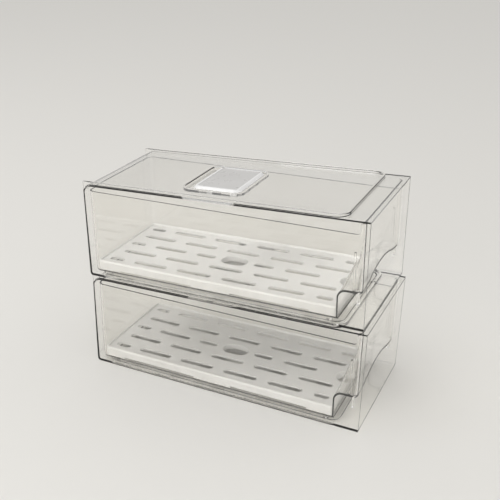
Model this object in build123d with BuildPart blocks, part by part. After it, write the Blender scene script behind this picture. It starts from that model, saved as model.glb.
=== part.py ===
from build123d import *
from math import atan, cos, degrees, sin
import os

# Two stacked fridge drawer units, each a clear case, a clear drawer, a slotted drain tray and a
# vent slider. Millimetres. +X is the way the drawers pull out and +Z is up. The origin is the
# centre of the face that the lower unit stands on, and each piece is drawn in its unit's own frame.

# Case: an open-fronted sleeve, a little wider and higher in front than behind
case_length = 320.0
case_rear_width = 136.0
case_front_width = 146.0
case_rear_height = 106.0
case_front_height = 114.0
case_wall = 2.0
end_rake = 1.5              # each end leans out this far between its lower and upper edge
rear_upright_radius = 3.0
rear_top_radius = 10.0
rear_base_radius = 4.0

# Stacking: a U-shaped ridge on the top holds the shallow plinth of the unit above
ridge_height = 3.0
ridge_width = 3.5
ridge_inset = 1.0           # from the case's side walls to the ridge
ridge_front_gap = 23.5      # from the case's front edge to the ridge
ridge_corner_radius = 14.0
ridge_end_radius = 1.6
ridge_edge_radius = 0.8
plinth_depth = 1.8
plinth_inset = 8.4          # from the side and rear walls to the plinth
plinth_front_gap = 25.1     # from the case's front edge to the plinth
plinth_corner_radius = 11.0
plinth_slant = 30.0         # degrees that its side leans from upright
stack_play = 0.7            # plinth to front ridge
stack_gap = 0.05            # ridge to the base that rests on it

# Drawer
drawer_rear_gap = 5.0       # from the case's rear edge to the drawer
drawer_front_gap = 6.0      # from the drawer's front face to the case's front edge
drawer_rear_side_gap = 1.0  # to the case's side walls
drawer_front_side_gap = 2.2
drawer_wall = 1.8
drawer_base_height = 5.0    # underside above the case's lower edge
drawer_rim_gap = 5.5        # from the case's ceiling at the rear to the drawer's side rim
drawer_top_gap = 2.5        # from the case's ceiling at the front to the drawer's front wall
drawer_draft = 0.8          # each wall leans out this far between its foot and its top
drawer_rear_radius = 7.0
drawer_front_radius = 5.0
drawer_base_radius = 3.0
rim_step_radius = 4.0
rim_step_gap = 4.2          # from the front face back to the step down to the side rim

# Finger notch under the drawer's front
notch_depth = 24.0          # from the front face back to the notch's rear wall
notch_side_height = 37.0    # roof at the side walls, above the case's lower edge
notch_crown_height = 47.0   # roof in the middle
notch_corner_radius = 8.0
tab_drop = 12.0             # small tabs that hang from the roof in the front corners
tab_width = 6.0
tab_thickness = 1.8
tab_gap = 3.4               # from the front face back to the tab
rib_top = 79.0              # ribs that stand inside the side walls, above the case's lower edge
rib_width = 3.0
rib_thickness = 2.0
rib_gap = 8.0               # from the front face back to the rib

# Drawer feet, which slide on the case's floor
foot_radius = 3.0
foot_inset = 4.5            # from the drawer's side to the foot's centre
rear_foot_distance = 19.0   # from the drawer's rear to the foot's centre
front_foot_distance = 9.0   # from the notch's rear wall to the foot's centre
running_gap = 0.25

# Drain tray
tray_side_gap = 0.8         # to the drawer's walls, all round
tray_floor_gap = 0.3
tray_surface = 15.5         # above the case's lower edge
tray_plate = 2.0
tray_rim_height = 2.0
tray_rim_width = 3.0
tray_rim_slant = 20.0       # degrees that the rim's inner side leans from upright
tray_bevel = 1.6
tray_skirt = 1.6
tray_corner_chamfer = 4.0
tray_front_radius = 3.0
skirt_lift = 1.8            # the skirt clears the floor by this between its feet
end_foot_length = 28.0
middle_foot_length = 45.0
slot_length = 40.0
slot_width = 8.0
slot_pitch = 53.3
row_pitch = 23.4
short_slot_length = 17.7
medium_slot_length = 23.5
finger_hole_length = 30.5
finger_hole_width = 21.0
tray_notch_depth = 16.5
tray_notch_width = 25.0
collar_wall = 1.6           # round the finger hole and the notch, under the plate
collar_depth = 4.0

# Vent: a shallow pan in the case's top, with openings that its sliding plate covers
vent_front_gap = 148.0      # from the case's front edge to the pan
vent_radius = 10.0
vent_depth = 3.0
vent_opening_length = 7.0
vent_opening_web = 4.0      # between the openings
vent_opening_margin = 1.5   # from the outer openings to the guide slots
vent_opening_gap = 4.0      # from the plate's front edge back to the openings
slider_length = 54.0
slider_width = 72.0
slider_radius = 8.0
slider_end_gap = 2.6        # from the pan's front end to the plate
slider_rear_play = 0.4      # from the pan's rear end to the plate when it is open
slider_side_gap = 4.0       # from the pan's sides to the plate
slider_floor_gap = 0.3
slider_rise = 0.8           # top of the plate above the case's top
slider_wall = 1.4
slider_bevel = 2.2
slider_dish_depth = 0.5
slider_dish_margin = 4.4
slider_travel = 9.0
leg_length = 6.0
leg_thickness = 1.6
leg_spacing = 26.0
leg_offset = 7.0            # from the plate's middle forward to the middle of its legs
leg_inset = 2.5             # from the plate's long edge to the leg's outer face
hook_reach = 1.4
hook_height = 1.6
hook_gap = 0.3              # below the pan's floor
guide_play = 0.4            # round each leg in its guide slot

# Places worked out from the sizes above
base_z = plinth_depth
case_rear = -case_length / 2
case_front = case_length / 2
top_slope = (case_front_height - case_rear_height) / case_length
top_angle = atan(top_slope)
case_floor_z = base_z + case_wall
drawer_rear = case_rear + drawer_rear_gap
drawer_front = case_front - drawer_front_gap
drawer_rear_width = case_rear_width - 2 * (case_wall + drawer_rear_side_gap)
drawer_front_width = case_front_width - 2 * (case_wall + drawer_front_side_gap)
drawer_base_z = base_z + drawer_base_height
drawer_height = case_front_height - case_wall - drawer_top_gap - drawer_base_height
rim_z = base_z + case_rear_height - case_wall - drawer_rim_gap
notch_wall_x = drawer_front - notch_depth
span = case_length + case_front_width   # longer than any one piece


def top_z(x):
    """Height of the case's top panel."""
    return base_z + case_rear_height + top_slope * (x - case_rear)


def case_half_width(x):
    return (case_rear_width + (case_front_width - case_rear_width) * (x - case_rear) / case_length) / 2


def drawer_half_width(x):
    """Half width over the top of the drawer's side walls."""
    share = (x - drawer_rear) / (drawer_front - drawer_rear)
    return (drawer_rear_width + (drawer_front_width - drawer_rear_width) * share) / 2


def wedge(half_width, rear, front, inset):
    """Corners of a tapering plan outline from rear to front, drawn in from its sides by inset."""
    rear_half = half_width(rear) - inset
    front_half = half_width(front) - inset
    return [(rear, -rear_half), (front, -front_half), (front, front_half), (rear, rear_half)]


def on_top(height):
    """The plane of the case's sloping top, raised by height."""
    normal = Vector(-sin(top_angle), 0, cos(top_angle))
    return Plane(Vector(0, 0, top_z(0)) + normal * height, (cos(top_angle), 0, sin(top_angle)), normal)


top_axis = Axis((0, 0, 0), on_top(0).z_dir)

def case_plan(rear, front, inset):
    """An upright block over the case's plan, with its rear corners rounded."""
    with BuildPart() as block:
        with BuildSketch() as outline:
            with BuildLine():
                Polyline(*wedge(case_half_width, rear, front, inset), close=True)
            make_face()
            fillet(outline.vertices().group_by(Axis.X)[0], rear_upright_radius - inset)
        extrude(amount=case_front_height + span)
    return block.part


def case_form(inset, reach):
    """The case's body drawn in by inset, with its front carried on by reach."""
    rear = case_rear + inset
    front = case_front + reach
    rear_top = (rear, top_z(rear) - inset)
    rear_base = (rear + end_rake, base_z + inset)
    with BuildPart() as body:
        with BuildSketch(Plane.XZ) as side_view:
            with BuildLine():
                Polyline(rear_base, (front - end_rake, base_z + inset),
                         (front, top_z(front) - inset), rear_top, close=True)
            make_face()
            fillet(side_view.vertices().sort_by_distance(rear_top)[0], rear_top_radius - inset)
            fillet(side_view.vertices().sort_by_distance(rear_base)[0], rear_base_radius - inset)
        extrude(amount=case_front_width, both=True)
        add(case_plan(rear, front, inset), mode=Mode.INTERSECT)
    return body.part


# Case
outer_form = case_form(0, 0)
inner_form = case_form(case_wall, span)
ridge_front = case_front - ridge_front_gap
plinth_front = case_front - plinth_front_gap
vent_length = slider_end_gap + slider_length + slider_travel + slider_rear_play
vent_width = slider_width + 2 * slider_side_gap
vent_x = case_front - vent_front_gap - vent_length / 2
slider_x = case_front - vent_front_gap - slider_end_gap - slider_length / 2
leg_x = slider_x + leg_offset
leg_y = slider_width / 2 - leg_inset - leg_thickness / 2
guide_x = leg_x - slider_travel / 2
guide_width = leg_thickness + 2 * guide_play
vent_opening_x = slider_x + slider_length / 2 - vent_opening_gap - vent_opening_length / 2
vent_opening_pitch = (2 * (leg_y - vent_opening_margin) - guide_width + vent_opening_web) / 3

with BuildPart() as ridge:
    with BuildSketch(on_top(-rear_top_radius - case_wall)) as ridge_outline:
        with BuildLine():
            Polyline(*wedge(case_half_width, case_rear, ridge_front, ridge_inset), close=True)
        make_face()
        with BuildLine():
            Polyline(*wedge(case_half_width, case_rear - ridge_width, ridge_front - ridge_width,
                            ridge_inset + ridge_width), close=True)
        make_face(mode=Mode.SUBTRACT)
        fillet(ridge_outline.vertices().group_by(Axis.X)[-2], ridge_corner_radius - ridge_width)
        fillet(ridge_outline.vertices().group_by(Axis.X)[-1], ridge_corner_radius)
        fillet(ridge_outline.vertices().group_by(Axis.X)[0], ridge_end_radius)
    extrude(amount=rear_top_radius + case_wall + ridge_height)
    fillet(ridge.faces().sort_by(top_axis)[-1].edges(), ridge_edge_radius)
    add(case_plan(case_rear, case_front, 0), mode=Mode.INTERSECT)

with BuildPart() as case:
    add(outer_form)
    add(ridge.part)
    with BuildSketch(Plane.XY.offset(base_z)) as plinth_outline:
        with BuildLine():
            Polyline(*wedge(case_half_width, case_rear + end_rake + plinth_inset, plinth_front,
                            plinth_inset), close=True)
        make_face()
        fillet(plinth_outline.vertices(), plinth_corner_radius)
    extrude(amount=-plinth_depth, taper=plinth_slant)
    add(inner_form, mode=Mode.SUBTRACT)
    with BuildSketch(Plane.XY.offset(case_floor_z)):
        offset(plinth_outline.sketch_local, amount=-case_wall)
    extrude(amount=-plinth_depth, taper=plinth_slant, mode=Mode.SUBTRACT)
    with BuildSketch(on_top(-vent_depth - case_wall)):
        with Locations((vent_x, 0)):
            RectangleRounded(vent_length + 2 * case_wall, vent_width + 2 * case_wall,
                             vent_radius + case_wall)
    extrude(amount=vent_depth + case_wall / 2)
    with BuildSketch(on_top(-vent_depth)):
        with Locations((vent_x, 0)):
            RectangleRounded(vent_length, vent_width, vent_radius)
    extrude(amount=vent_depth + ridge_height, mode=Mode.SUBTRACT)
    with BuildSketch(on_top(-vent_depth - 2 * case_wall)):
        with Locations((vent_opening_x, 0)):
            with GridLocations(vent_opening_pitch, vent_opening_pitch, 1, 3):
                SlotOverall(vent_opening_pitch - vent_opening_web, vent_opening_length, rotation=90)
        with Locations((guide_x, 0)):
            with GridLocations(leg_spacing, 2 * leg_y, 2, 2):
                Rectangle(leg_length + slider_travel + 2 * guide_play, guide_width)
    extrude(amount=3 * case_wall, mode=Mode.SUBTRACT)


def drawer_form(inset, foot_z):
    """The drawer's body drawn in by inset, from foot_z up to its top, leaning out by the draft."""
    foot_inset_total = inset + drawer_draft * (1 - (foot_z - drawer_base_z) / drawer_height)
    with BuildPart() as body:
        with BuildSketch(Plane.XY.offset(foot_z)) as outline:
            with BuildLine():
                Polyline(*wedge(drawer_half_width, drawer_rear + foot_inset_total,
                                drawer_front - foot_inset_total, foot_inset_total), close=True)
            make_face()
            fillet(outline.vertices().group_by(Axis.X)[0], drawer_rear_radius - inset)
            fillet(outline.vertices().group_by(Axis.X)[-1], drawer_front_radius - inset)
        extrude(amount=drawer_base_z + drawer_height - foot_z,
                taper=-degrees(atan(drawer_draft / drawer_height)))
        fillet(body.faces().sort_by(Axis.Z)[0].edges(), drawer_base_radius - inset)
    return body.part


def notch_form(grow):
    """The space of the finger notch, with its rear wall and vaulted roof moved out by grow."""
    half = drawer_front_width / 2
    side_z = base_z + notch_side_height + grow
    crown_z = base_z + notch_crown_height + grow
    middle_z = (side_z + crown_z) / 2
    with BuildPart() as space:
        with BuildSketch(Plane.YZ.offset(notch_wall_x - grow)):
            with BuildLine():
                Polyline((half, side_z), (span, side_z), (span, -span), (-span, -span),
                         (-span, side_z), (-half, side_z))
                TangentArc((-half, side_z), (-half / 2, middle_z), tangent=(1, 0))
                ThreePointArc((-half / 2, middle_z), (0, crown_z), (half / 2, middle_z))
                TangentArc((half, side_z), (half / 2, middle_z), tangent=(-1, 0))
            make_face()
        extrude(amount=span)
        rear_face = space.faces().sort_by(Axis.X)[0]
        roof_edges = rear_face.edges().filter_by(lambda edge: edge.center().Z > side_z - grow)
        fillet(roof_edges, notch_corner_radius + grow)
    return space.part


# Drawer
outer_drawer = drawer_form(0, drawer_base_z)
roof_z = base_z + notch_side_height
rim_step_x = drawer_front - rim_step_gap
tab_x = drawer_front - tab_gap - tab_thickness / 2
rib_x = drawer_front - rib_gap - rib_thickness / 2

with BuildPart() as drawer_room:
    add(drawer_form(drawer_wall, drawer_base_z + drawer_wall))
    add(notch_form(drawer_wall), mode=Mode.SUBTRACT)

with BuildPart() as corner_tabs:
    with BuildSketch(Plane.XY.offset(roof_z - tab_drop)):
        with Locations((tab_x, -drawer_half_width(tab_x)), (tab_x, drawer_half_width(tab_x))):
            Rectangle(tab_thickness, 2 * tab_width)
    extrude(amount=tab_drop + drawer_wall / 2)
    add(outer_drawer, mode=Mode.INTERSECT)

with BuildPart() as corner_ribs:
    with BuildSketch(Plane.XY.offset(roof_z + drawer_wall / 2)):
        with Locations((rib_x, -drawer_half_width(rib_x)), (rib_x, drawer_half_width(rib_x))):
            Rectangle(rib_thickness, 2 * (drawer_wall + rib_width))
    extrude(amount=rib_top - notch_side_height - drawer_wall / 2)
    add(outer_drawer, mode=Mode.INTERSECT)

with BuildPart() as drawer:
    add(outer_drawer)
    add(notch_form(0), mode=Mode.SUBTRACT)
    add(drawer_room.part, mode=Mode.SUBTRACT)
    with BuildSketch(Plane.XZ) as rim_cut:
        with BuildLine():
            Polyline((rim_step_x, rim_z), (rim_step_x, rim_z + span),
                     (case_rear, rim_z + span), (case_rear, rim_z), close=True)
        make_face()
        fillet(rim_cut.vertices().sort_by_distance((rim_step_x, rim_z))[0], rim_step_radius)
    extrude(amount=span, both=True, mode=Mode.SUBTRACT)
    add(corner_tabs.part)
    add(corner_ribs.part)
    with BuildSketch(Plane.XY.offset(case_floor_z + running_gap)):
        for foot_x in (drawer_rear + rear_foot_distance, notch_wall_x - front_foot_distance):
            foot_y = drawer_half_width(foot_x) - foot_inset
            with Locations((foot_x, -foot_y), (foot_x, foot_y)):
                Circle(foot_radius)
    extrude(amount=drawer_base_z + 0.75 * drawer_wall - case_floor_z - running_gap)

# Drain tray
tray_inset = drawer_draft + drawer_wall + tray_side_gap
tray_rear = drawer_rear + tray_inset
tray_front = notch_wall_x - drawer_wall - tray_side_gap
tray_x = (tray_rear + tray_front) / 2
tray_foot_z = drawer_base_z + drawer_wall + tray_floor_gap
tray_surface_z = base_z + tray_surface
tray_under_z = tray_surface_z - tray_plate
slot_bridge = slot_pitch - slot_length
outer_slot_x = 1.5 * slot_pitch
short_slot_x = outer_slot_x + slot_length / 2 + slot_bridge + short_slot_length / 2
medium_slot_x = outer_slot_x - slot_length / 2 - slot_bridge - medium_slot_length / 2
relief_front = (tray_front - tray_rear) / 2 - end_foot_length
relief_length = relief_front - middle_foot_length / 2

with BuildPart() as tray:
    with BuildSketch(Plane.XY.offset(tray_foot_z)) as tray_outline:
        with BuildLine():
            Polyline(*wedge(drawer_half_width, tray_rear, tray_front, tray_inset), close=True)
        make_face()
        chamfer(tray_outline.vertices().group_by(Axis.X)[0], tray_corner_chamfer)
        fillet(tray_outline.vertices().group_by(Axis.X)[-1], tray_front_radius)
    extrude(amount=tray_surface_z + tray_rim_height - tray_foot_z)
    chamfer(tray.faces().sort_by(Axis.Z)[-1].edges(), tray_bevel)
    with BuildSketch(Plane.XY.offset(tray_surface_z)):
        offset(tray_outline.sketch_local, amount=-tray_rim_width)
    extrude(amount=tray_rim_height, taper=-tray_rim_slant, mode=Mode.SUBTRACT)
    with BuildSketch(Plane.XY.offset(tray_foot_z)):
        offset(tray_outline.sketch_local, amount=-tray_skirt)
        with Locations((tray_front - tray_notch_depth - collar_wall + span / 2, 0)):
            SlotOverall(span, tray_notch_width + 2 * collar_wall, mode=Mode.SUBTRACT)
    extrude(amount=tray_under_z - tray_foot_z, mode=Mode.SUBTRACT)
    with BuildSketch(Plane.XY.offset(tray_foot_z)):
        with Locations((tray_x, 0)):
            with GridLocations(2 * relief_front - relief_length, 1, 2, 1):
                Rectangle(relief_length, span)
    extrude(amount=skirt_lift, mode=Mode.SUBTRACT)
    with BuildSketch(Plane.XY.offset(tray_under_z - collar_depth)):
        with Locations((tray_x, 0)):
            SlotOverall(finger_hole_length + 2 * collar_wall, finger_hole_width + 2 * collar_wall)
    extrude(amount=collar_depth)
    with BuildSketch(Plane.XY.offset(tray_under_z - collar_depth)):
        with Locations((tray_x, 0)):
            SlotOverall(finger_hole_length, finger_hole_width)
            with GridLocations(slot_pitch, 4 * row_pitch, 4, 2):
                SlotOverall(slot_length, slot_width)
            with GridLocations(slot_pitch, 2 * row_pitch, 5, 2):
                SlotOverall(slot_length, slot_width)
            with GridLocations(2 * outer_slot_x, row_pitch, 2, 1):
                SlotOverall(slot_length, slot_width)
            with GridLocations(2 * medium_slot_x, row_pitch, 2, 1):
                SlotOverall(medium_slot_length, slot_width)
            with GridLocations(2 * short_slot_x, 4 * row_pitch, 2, 2):
                SlotOverall(short_slot_length, slot_width)
            with Locations((-short_slot_x, 0)):
                SlotOverall(short_slot_length, slot_width)
    extrude(amount=collar_depth + tray_plate, mode=Mode.SUBTRACT)
    with BuildSketch(Plane.XY.offset(tray_foot_z)):
        with Locations((tray_front - tray_notch_depth + span / 2, 0)):
            SlotOverall(span, tray_notch_width)
    extrude(amount=span, mode=Mode.SUBTRACT)

# Vent slider
slider_under = slider_floor_gap - vent_depth
shell_under = slider_rise - slider_dish_depth - slider_wall
hook_top = -vent_depth - case_wall - hook_gap
hook_y = leg_y + hook_reach / 2

with BuildPart() as slider:
    with BuildSketch(on_top(slider_under)):
        with Locations((slider_x, 0)):
            RectangleRounded(slider_length, slider_width, slider_radius)
    extrude(amount=slider_rise - slider_under)
    chamfer(slider.faces().sort_by(top_axis)[-1].edges(), slider_bevel)
    with BuildSketch(on_top(slider_rise)):
        with Locations((slider_x, 0)):
            RectangleRounded(slider_length - 2 * slider_dish_margin,
                             slider_width - 2 * slider_dish_margin,
                             slider_radius - slider_dish_margin)
    extrude(amount=-slider_dish_depth, mode=Mode.SUBTRACT)
    with BuildSketch(on_top(slider_under)):
        with Locations((slider_x, 0)):
            RectangleRounded(slider_length - 2 * slider_bevel - 2 * slider_wall,
                             slider_width - 2 * slider_bevel - 2 * slider_wall,
                             slider_radius - slider_bevel - slider_wall)
    extrude(amount=shell_under - slider_under, mode=Mode.SUBTRACT)
    with BuildSketch(on_top(hook_top - hook_height)):
        with Locations((leg_x, 0)):
            with GridLocations(leg_spacing, 2 * leg_y, 2, 2):
                Rectangle(leg_length, leg_thickness)
    extrude(amount=shell_under + slider_wall / 2 - hook_top + hook_height)
    with BuildSketch(on_top(hook_top - hook_height)):
        with Locations((leg_x, 0)):
            with GridLocations(leg_spacing, 2 * hook_y, 2, 2):
                Rectangle(leg_length, leg_thickness + hook_reach)
    extrude(amount=hook_height)

# The lower unit stands as drawn, and the upper one sits back against the lower one's front ridge
stack_setback = plinth_front - (ridge_front - ridge_width) + stack_play
seat = on_top(ridge_height + stack_gap).location
places = {"lower": Location(), "upper": seat * Location((-stack_setback, 0, -base_z))}
pieces = {"case": case.part, "drawer": drawer.part, "drain_tray": tray.part, "vent_slider": slider.part}

os.makedirs("parts", exist_ok=True)
for tier, place in places.items():
    for name, piece in pieces.items():
        node = piece.moved(place)
        node.label = f"{tier}_{name}"
        export_step(node, f"parts/{node.label}.step")
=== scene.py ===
import math
import bpy
from mathutils import Matrix, Vector


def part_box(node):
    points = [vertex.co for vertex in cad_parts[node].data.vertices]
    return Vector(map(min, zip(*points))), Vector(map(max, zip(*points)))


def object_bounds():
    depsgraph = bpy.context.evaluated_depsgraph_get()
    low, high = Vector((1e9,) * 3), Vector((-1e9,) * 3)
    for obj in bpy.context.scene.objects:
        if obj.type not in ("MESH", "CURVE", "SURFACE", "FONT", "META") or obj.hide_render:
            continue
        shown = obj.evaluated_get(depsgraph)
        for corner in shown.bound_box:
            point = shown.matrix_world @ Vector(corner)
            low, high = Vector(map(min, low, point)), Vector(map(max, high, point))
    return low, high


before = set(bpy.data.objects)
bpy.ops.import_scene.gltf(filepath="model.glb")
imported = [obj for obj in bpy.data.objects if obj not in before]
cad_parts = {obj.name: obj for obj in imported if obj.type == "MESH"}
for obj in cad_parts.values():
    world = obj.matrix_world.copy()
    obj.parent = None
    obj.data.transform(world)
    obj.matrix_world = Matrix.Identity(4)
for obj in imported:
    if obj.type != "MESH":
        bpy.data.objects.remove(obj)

# Lengths are metres, colours are linear and lamp strengths are watts

CLEAR_IOR = 1.5
WHITE_IOR = 1.49
SHADOW_COLOUR = (0.975, 0.973, 0.966)   # light that each clear face lets through
SLIDER_RIM = 0.0044         # width of the flat rim round the vent slider's dish, lightened by a painted highlight
RIM_HIGHLIGHT_BLUR = 0.0003    # to either side of the rim's inner edge, where the painted highlight fades out

FLOOR_REACH = 9.0
FLOOR_GAP = 0.0001          # below the lowest point of the object
FLOOR_COLOUR = (0.74, 0.725, 0.69)
FLOOR_ROUGHNESS = 0.85
FLOOR_GLOSS = 0.2

SKY_LOW = (0.40, 0.39, 0.375)
SKY_HIGH = (1.0, 1.0, 1.0)
SKY_HIGH_FROM = 0.6         # height in the sky, as the sine of the elevation
SKY_STRENGTH = 0.85
LAMP_TARGET = (0, 0, 0.1)
LAMPS = {                   # place, width and strength
    "key": ((-1.3, -0.9, 2.2), 1.4, 14),
    "fill": ((1.8, -1.6, 1.3), 1.6, 9),
    "front": ((-0.2, -2.2, 0.75), 1.3, 12),
}

# Camera, as fitted to the photograph
CAMERA_PLACE = (0.3410, -0.7748, 0.5233)
CAMERA_FORWARD = (-0.3658, 0.8368, -0.4074)
CAMERA_ROLL = math.radians(1.04)        # how far the picture's right edge points up
CAMERA_LENS = 60.93                     # millimetres, on the sensor below
CAMERA_SENSOR = 36.0
CAMERA_CLIP = 0.01

CLEAR_BOUNCES = 28
SHADOW_BOUNCES = 40

# Sockets of a Mix node that mixes colours
MIX_FACTOR, MIX_FIRST, MIX_SECOND, MIX_RESULT = 0, 6, 7, 2

scene = bpy.context.scene
cad_box = [list(corner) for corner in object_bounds()]


def node(tree, kind, **values):
    """A new shader node with some of its input sockets set."""
    made = tree.nodes.new(kind)
    for name, value in values.items():
        made.inputs[name.replace("_", " ")].default_value = value
    return made


def noise(tree, scale, detail, stretch=(1, 1, 1)):
    """Noise over the object's own coordinates."""
    place = tree.nodes.new("ShaderNodeTexCoord")
    mapping = node(tree, "ShaderNodeMapping", Scale=stretch)
    tree.links.new(place.outputs["Object"], mapping.inputs["Vector"])
    texture = node(tree, "ShaderNodeTexNoise", Scale=scale, Detail=detail)
    tree.links.new(mapping.outputs["Vector"], texture.inputs["Vector"])
    return texture.outputs["Fac"]


def spread(tree, value, low, high):
    """Maps the middle of a noise onto the range from low to high."""
    ramp = node(tree, "ShaderNodeMapRange", From_Min=0.3, From_Max=0.7, To_Min=low, To_Max=high)
    tree.links.new(value, ramp.inputs["Value"])
    return ramp.outputs["Result"]


def colour_ramp(tree, value, low, low_at, high, high_at):
    ramp = tree.nodes.new("ShaderNodeValToRGB")
    stops = ramp.color_ramp.elements
    for stop, colour, position in zip(stops, (low, high), (low_at, high_at)):
        stop.position = position
        stop.color = (*colour, 1)
    tree.links.new(value, ramp.inputs["Fac"])
    return ramp.outputs["Color"]


def blend(tree, value, low, high):
    """Mixes two colours by a noise."""
    return colour_ramp(tree, value, low, 0.35, high, 0.65)


def bump(tree, height, strength, distance):
    made = node(tree, "ShaderNodeBump", Strength=strength, Distance=distance)
    tree.links.new(height, made.inputs["Height"])
    return made


def arithmetic(tree, kind, first, second):
    """Result of a Math node, where each value is a socket or a plain number."""
    made = tree.nodes.new("ShaderNodeMath")
    made.operation = kind
    for socket, value in zip(made.inputs, (first, second)):
        if isinstance(value, float):
            socket.default_value = value
        else:
            tree.links.new(value, socket)
    return made.outputs["Value"]


def start(name):
    material = bpy.data.materials.new(name)
    material.use_nodes = True
    tree = material.node_tree
    return material, tree, tree.nodes["Principled BSDF"]


def moulded_surface(tree, shader, broad, fine):
    """Gives a shader a broad unevenness with a fine one on top of it."""
    tree.links.new(broad.outputs["Normal"], fine.inputs["Normal"])
    tree.links.new(fine.outputs["Normal"], shader.inputs["Normal"])


def clear_plastic(name, low, high, haze):
    """Clear moulded plastic: faint tint and haze that vary, with slow ripples from moulding."""
    material, tree, shader = start(name)
    shader.inputs["Transmission Weight"].default_value = 1.0
    shader.inputs["IOR"].default_value = CLEAR_IOR
    tree.links.new(blend(tree, noise(tree, 9, 3), low, high), shader.inputs["Base Color"])
    tree.links.new(spread(tree, noise(tree, 60, 5, (1, 1, 2.5)), *haze), shader.inputs["Roughness"])
    ripple = bump(tree, noise(tree, 14, 2, (0.5, 1, 1.6)), 0.10, 0.0012)
    scuffs = bump(tree, noise(tree, 420, 3, (0.15, 1, 1)), 0.03, 0.0002)
    moulded_surface(tree, shader, ripple, scuffs)
    lets_through = node(tree, "ShaderNodeBsdfTransparent", Color=(*SHADOW_COLOUR, 1))
    path = tree.nodes.new("ShaderNodeLightPath")
    mix = tree.nodes.new("ShaderNodeMixShader")
    tree.links.new(path.outputs["Is Shadow Ray"], mix.inputs["Fac"])
    tree.links.new(shader.outputs["BSDF"], mix.inputs[1])
    tree.links.new(lets_through.outputs["BSDF"], mix.inputs[2])
    tree.links.new(mix.outputs["Shader"], tree.nodes["Material Output"].inputs["Surface"])
    return material


def white_plastic(name, low, high, gloss, grain):
    """Opaque white moulded plastic with a fine grain and slightly uneven gloss."""
    material, tree, shader = start(name)
    shader.inputs["IOR"].default_value = WHITE_IOR
    shader.inputs["Subsurface Weight"].default_value = 0.06
    shader.inputs["Subsurface Radius"].default_value = (0.004, 0.004, 0.004)
    tree.links.new(blend(tree, noise(tree, 18, 4), low, high), shader.inputs["Base Color"])
    tree.links.new(spread(tree, noise(tree, 90, 5), *gloss), shader.inputs["Roughness"])
    slow = bump(tree, noise(tree, 30, 2), 0.06, 0.0008)
    fine = bump(tree, noise(tree, 1800, 2), grain, 0.00012)
    moulded_surface(tree, shader, slow, fine)
    return material


def paint_rim_highlight(material, low, high, box, rim_width):
    """Paints a highlight on the rim of a flat plate, making it lighter than its dished middle. The box
    is the plate's.
    """
    tree = material.node_tree
    colour = tree.nodes["Principled BSDF"].inputs["Base Color"]
    place = tree.nodes.new("ShaderNodeTexCoord")
    apart = tree.nodes.new("ShaderNodeSeparateXYZ")
    tree.links.new(place.outputs["Object"], apart.inputs["Vector"])
    beyond = []
    for axis in (0, 1):
        middle = (box[0][axis] + box[1][axis]) / 2
        reach = (box[1][axis] - box[0][axis]) / 2 - rim_width
        from_middle = arithmetic(tree, "SUBTRACT", apart.outputs[axis], middle)
        distance = arithmetic(tree, "ABSOLUTE", from_middle, 0.0)
        beyond.append(arithmetic(tree, "SUBTRACT", distance, reach))
    # the rim's painted highlight: 1 on the rim, 0 in the dished middle
    rim_highlight_mask = node(tree, "ShaderNodeMapRange", From_Min=-RIM_HIGHLIGHT_BLUR, From_Max=RIM_HIGHLIGHT_BLUR)
    tree.links.new(arithmetic(tree, "MAXIMUM", *beyond), rim_highlight_mask.inputs["Value"])
    mix = tree.nodes.new("ShaderNodeMix")
    mix.data_type = "RGBA"
    tree.links.new(rim_highlight_mask.outputs["Result"], mix.inputs[MIX_FACTOR])
    tree.links.new(colour.links[0].from_socket, mix.inputs[MIX_FIRST])
    tree.links.new(blend(tree, noise(tree, 18, 4), low, high), mix.inputs[MIX_SECOND])
    tree.links.new(mix.outputs[MIX_RESULT], colour)


def slider_plastic(node_name, name):
    """White plastic for one vent slider, with a painted highlight on its rim, which is found from the
    piece's own box.
    """
    material = white_plastic(name, (0.54, 0.53, 0.515), (0.58, 0.57, 0.555), (0.24, 0.36), 0.08)
    # lighter colours for the painted highlight on the slider's rim
    paint_rim_highlight(material, (0.78, 0.775, 0.765), (0.82, 0.815, 0.805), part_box(node_name), SLIDER_RIM)
    return material


case_plastic = clear_plastic("clear_case", (0.978, 0.974, 0.962), (0.99, 0.987, 0.979), (0.01, 0.03))
drawer_plastic = clear_plastic("clear_drawer", (0.972, 0.967, 0.952), (0.986, 0.982, 0.971),
                               (0.012, 0.036))
tray_plastic = white_plastic("white_tray", (0.76, 0.752, 0.735), (0.80, 0.793, 0.777),
                             (0.34, 0.46), 0.12)
for tier in ("lower", "upper"):
    vent_slider = f"{tier}_vent_slider"
    worn = {
        f"{tier}_case": case_plastic,
        f"{tier}_drawer": drawer_plastic,
        f"{tier}_drain_tray": tray_plastic,
        vent_slider: slider_plastic(vent_slider, f"white_slider_{tier}"),
    }
    for name, material in worn.items():
        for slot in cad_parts[name].material_slots:
            slot.material = material

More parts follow.
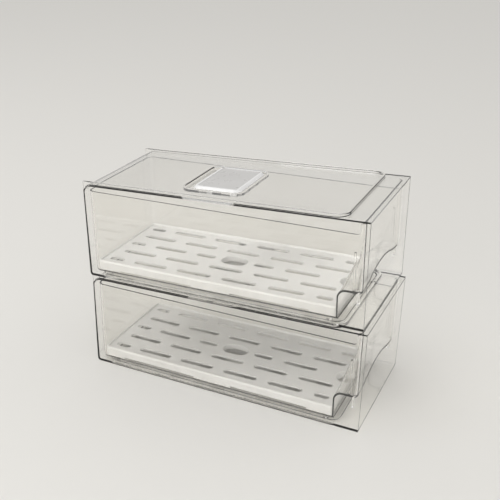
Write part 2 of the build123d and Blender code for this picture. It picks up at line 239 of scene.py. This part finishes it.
# Floor
corners = [(-FLOOR_REACH, -FLOOR_REACH, 0), (FLOOR_REACH, -FLOOR_REACH, 0),
           (FLOOR_REACH, FLOOR_REACH, 0), (-FLOOR_REACH, FLOOR_REACH, 0)]
floor_mesh = bpy.data.meshes.new("floor")
floor_mesh.from_pydata(corners, [], [(0, 1, 2, 3)])
floor = bpy.data.objects.new("floor", floor_mesh)
floor.location.z = cad_box[0][2] - FLOOR_GAP
scene.collection.objects.link(floor)
floor_material, floor_tree, floor_shader = start("pale_floor")
floor_shader.inputs["Base Color"].default_value = (*FLOOR_COLOUR, 1)
floor_shader.inputs["Roughness"].default_value = FLOOR_ROUGHNESS
floor_shader.inputs["Specular IOR Level"].default_value = FLOOR_GLOSS
floor_mesh.materials.append(floor_material)

# Sky: even, and darker towards the horizon
world = bpy.data.worlds.new("studio")
scene.world = world
world.use_nodes = True
sky = world.node_tree
where = sky.nodes.new("ShaderNodeTexCoord")
split = sky.nodes.new("ShaderNodeSeparateXYZ")
sky.links.new(where.outputs["Generated"], split.inputs["Vector"])
shade = colour_ramp(sky, split.outputs["Z"], SKY_LOW, 0.0, SKY_HIGH, SKY_HIGH_FROM)
sky.links.new(shade, sky.nodes["Background"].inputs["Color"])
sky.nodes["Background"].inputs["Strength"].default_value = SKY_STRENGTH

# Three large soft lamps
for name, (place, width, watts) in LAMPS.items():
    lamp_data = bpy.data.lights.new(name, "AREA")
    lamp_data.size = width
    lamp_data.energy = watts
    lamp = bpy.data.objects.new(name, lamp_data)
    lamp.location = place
    lamp.rotation_euler = (Vector(LAMP_TARGET) - Vector(place)).to_track_quat("-Z", "Y").to_euler()
    scene.collection.objects.link(lamp)

# Camera
forward = Vector(CAMERA_FORWARD).normalized()
level = forward.cross(Vector((0, 0, 1))).normalized()
upright = level.cross(forward)
tilt = math.asin(math.sin(CAMERA_ROLL) / upright.z)
right = level * math.cos(tilt) + upright * math.sin(tilt)
up = right.cross(forward)
turn = Matrix((right, up, -forward)).transposed().to_4x4()
camera_data = bpy.data.cameras.new("camera")
camera_data.sensor_width = CAMERA_SENSOR
camera_data.lens = CAMERA_LENS
camera_data.clip_start = CAMERA_CLIP
camera = bpy.data.objects.new("camera", camera_data)
camera.matrix_world = Matrix.Translation(CAMERA_PLACE) @ turn
scene.collection.objects.link(camera)
scene.camera = camera

scene.view_settings.view_transform = "Standard"
scene.cycles.max_bounces = CLEAR_BOUNCES
scene.cycles.transmission_bounces = CLEAR_BOUNCES
scene.cycles.transparent_max_bounces = SHADOW_BOUNCES
